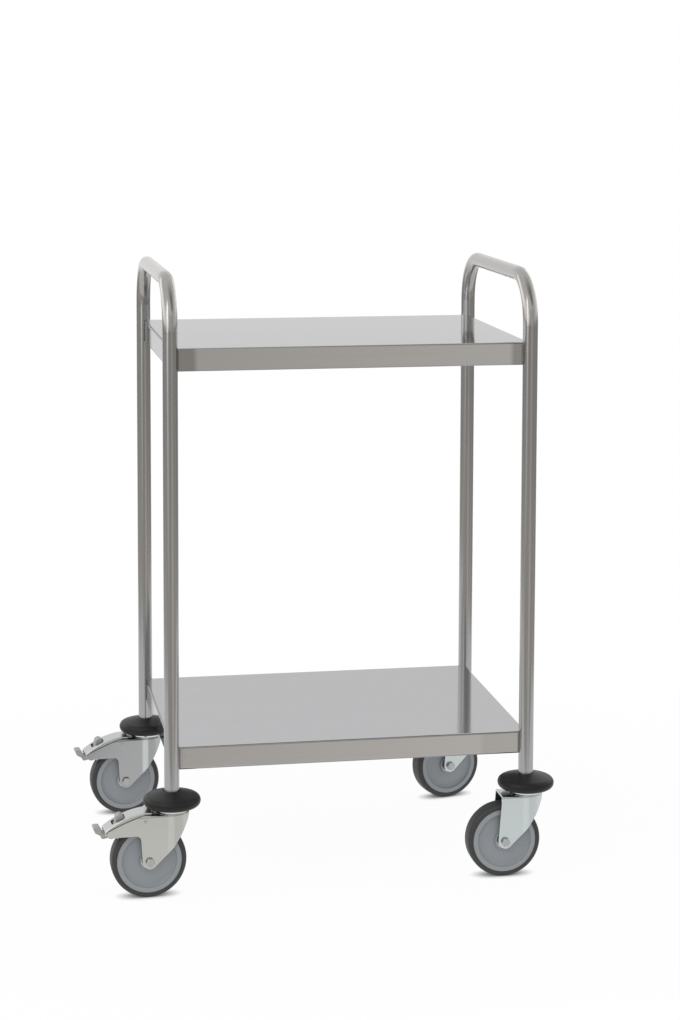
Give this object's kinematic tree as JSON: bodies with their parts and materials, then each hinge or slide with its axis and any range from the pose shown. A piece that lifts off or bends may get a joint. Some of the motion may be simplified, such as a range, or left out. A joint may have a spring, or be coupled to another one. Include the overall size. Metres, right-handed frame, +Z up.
{
  "type": "utility trolley",
  "caption": "Stainless utility trolley: folded shelves between bent tube end frames that form push handles, on swivel castors with rubber bumpers and foot brakes at one end.",
  "frame": {"origin": "on the floor, under the middle of the outer box", "axes": "+Z up, +X along the shelves away from the braked end, +Y to the rear"},
  "size_m": [0.7792, 0.545, 1.0256],
  "materials": {
    "stainless_tube": "satin polished",
    "stainless_sheet": "bright, faintly grained",
    "bumper_rubber": "matt black",
    "tyre_rubber": "matt dark grey",
    "wheel_plastic": "moulded blue grey",
    "bright_zinc": "bright zinc plate",
    "bolt_steel": "zinc plate",
    "plain_steel": "plain",
    "grey_casting": "as cast"
  },
  "bodies": {
    "frame": {"left_handle_frame": "stainless_tube", "right_handle_frame": "stainless_tube", "top_shelf": "stainless_sheet", "bottom_shelf": "stainless_sheet", "tube_expanders": "plain_steel", "castor_bolts": "plain_steel", "king_pins": "plain_steel", "front_left_bumper": "bumper_rubber", "front_left_swivel_head": "bright_zinc", "front_left_swivel_balls": "plain_steel", "front_right_bumper": "bumper_rubber", "front_right_swivel_head": "bright_zinc", "front_right_swivel_balls": "plain_steel", "rear_left_bumper": "bumper_rubber", "rear_left_swivel_head": "bright_zinc", "rear_left_swivel_balls": "plain_steel", "rear_right_bumper": "bumper_rubber", "rear_right_swivel_head": "bright_zinc", "rear_right_swivel_balls": "plain_steel"},
    "front_left_castor": {"front_left_fork": "bright_zinc", "front_left_axle_bolt": "bolt_steel", "front_left_axle_nut": "bolt_steel", "front_left_axle_sleeve": "plain_steel", "front_left_brake_cover": "bright_zinc", "front_left_brake_pins": "bolt_steel"},
    "front_left_wheel": {"front_left_tyre": "tyre_rubber", "front_left_wheel_centre": "wheel_plastic", "front_left_wheel_caps": "wheel_plastic", "front_left_wheel_bearings": "plain_steel"},
    "front_right_castor": {"front_right_fork": "bright_zinc", "front_right_axle_bolt": "bolt_steel", "front_right_axle_nut": "bolt_steel", "front_right_axle_sleeve": "plain_steel"},
    "front_right_wheel": {"front_right_tyre": "tyre_rubber", "front_right_wheel_centre": "wheel_plastic", "front_right_wheel_caps": "wheel_plastic", "front_right_wheel_bearings": "plain_steel"},
    "rear_left_castor": {"rear_left_fork": "bright_zinc", "rear_left_axle_bolt": "bolt_steel", "rear_left_axle_nut": "bolt_steel", "rear_left_axle_sleeve": "plain_steel", "rear_left_brake_cover": "bright_zinc", "rear_left_brake_pins": "bolt_steel"},
    "rear_left_wheel": {"rear_left_tyre": "tyre_rubber", "rear_left_wheel_centre": "wheel_plastic", "rear_left_wheel_caps": "wheel_plastic", "rear_left_wheel_bearings": "plain_steel"},
    "rear_right_castor": {"rear_right_fork": "bright_zinc", "rear_right_axle_bolt": "bolt_steel", "rear_right_axle_nut": "bolt_steel", "rear_right_axle_sleeve": "plain_steel"},
    "rear_right_wheel": {"rear_right_tyre": "tyre_rubber", "rear_right_wheel_centre": "wheel_plastic", "rear_right_wheel_caps": "wheel_plastic", "rear_right_wheel_bearings": "plain_steel"},
    "front_left_rocker": {"front_left_brake_rocker": "grey_casting"},
    "front_left_shoe": {"front_left_brake_shoe": "plain_steel"},
    "rear_left_rocker": {"rear_left_brake_rocker": "grey_casting"},
    "rear_left_shoe": {"rear_left_brake_shoe": "plain_steel"}
  },
  "joints": [
    {"name": "front_left_swivel", "type": "hinge", "parent": "frame", "child": "front_left_castor", "pos_m": [-0.25794, -0.225, 0.125], "axis": [0, 0, 1], "continuous": true},
    {"name": "front_left_spin", "type": "hinge", "parent": "front_left_castor", "child": "front_left_wheel", "pos_m": [-0.29789, -0.22709, 0.0625], "axis": [-0.0523, 0.9986, 0], "continuous": true},
    {"name": "front_right_swivel", "type": "hinge", "parent": "frame", "child": "front_right_castor", "pos_m": [0.34206, -0.225, 0.125], "axis": [0, 0, 1], "continuous": true},
    {"name": "front_right_spin", "type": "hinge", "parent": "front_right_castor", "child": "front_right_wheel", "pos_m": [0.30206, -0.22535, 0.0625], "axis": [-0.0087, 1, 0], "continuous": true},
    {"name": "rear_left_swivel", "type": "hinge", "parent": "frame", "child": "rear_left_castor", "pos_m": [-0.25794, 0.225, 0.125], "axis": [0, 0, 1], "continuous": true},
    {"name": "rear_left_spin", "type": "hinge", "parent": "rear_left_castor", "child": "rear_left_wheel", "pos_m": [-0.29779, 0.22151, 0.0625], "axis": [-0.0872, 0.9962, 0], "continuous": true},
    {"name": "rear_right_swivel", "type": "hinge", "parent": "frame", "child": "rear_right_castor", "pos_m": [0.34206, 0.225, 0.125], "axis": [0, 0, 1], "continuous": true},
    {"name": "rear_right_spin", "type": "hinge", "parent": "rear_right_castor", "child": "rear_right_wheel", "pos_m": [0.30308, 0.216, 0.0625], "axis": [-0.225, 0.9744, 0], "continuous": true},
    {"name": "front_left_brake", "type": "hinge", "parent": "front_left_castor", "child": "front_left_rocker", "pos_m": [-0.35791, -0.23024, 0.11605], "axis": [0.0523, -0.9986, 0], "range_deg": [0, 16]},
    {"name": "front_left_shoe_press", "type": "hinge", "parent": "front_left_castor", "child": "front_left_shoe", "pos_m": [-0.30491, -0.22746, 0.13054], "axis": [0.0523, -0.9986, 0], "range_deg": [0, 1.79]},
    {"name": "rear_left_brake", "type": "hinge", "parent": "rear_left_castor", "child": "rear_left_rocker", "pos_m": [-0.35767, 0.21627, 0.11605], "axis": [0.0872, -0.9962, 0], "range_deg": [0, 16]},
    {"name": "rear_left_shoe_press", "type": "hinge", "parent": "rear_left_castor", "child": "rear_left_shoe", "pos_m": [-0.30479, 0.2209, 0.13054], "axis": [0.0872, -0.9962, 0], "range_deg": [0, 1.79]}
  ],
  "couplings": [
    {"joint": "front_left_shoe_press", "follows": "front_left_brake", "ratio": 0.112},
    {"joint": "rear_left_shoe_press", "follows": "rear_left_brake", "ratio": 0.112}
  ]
}
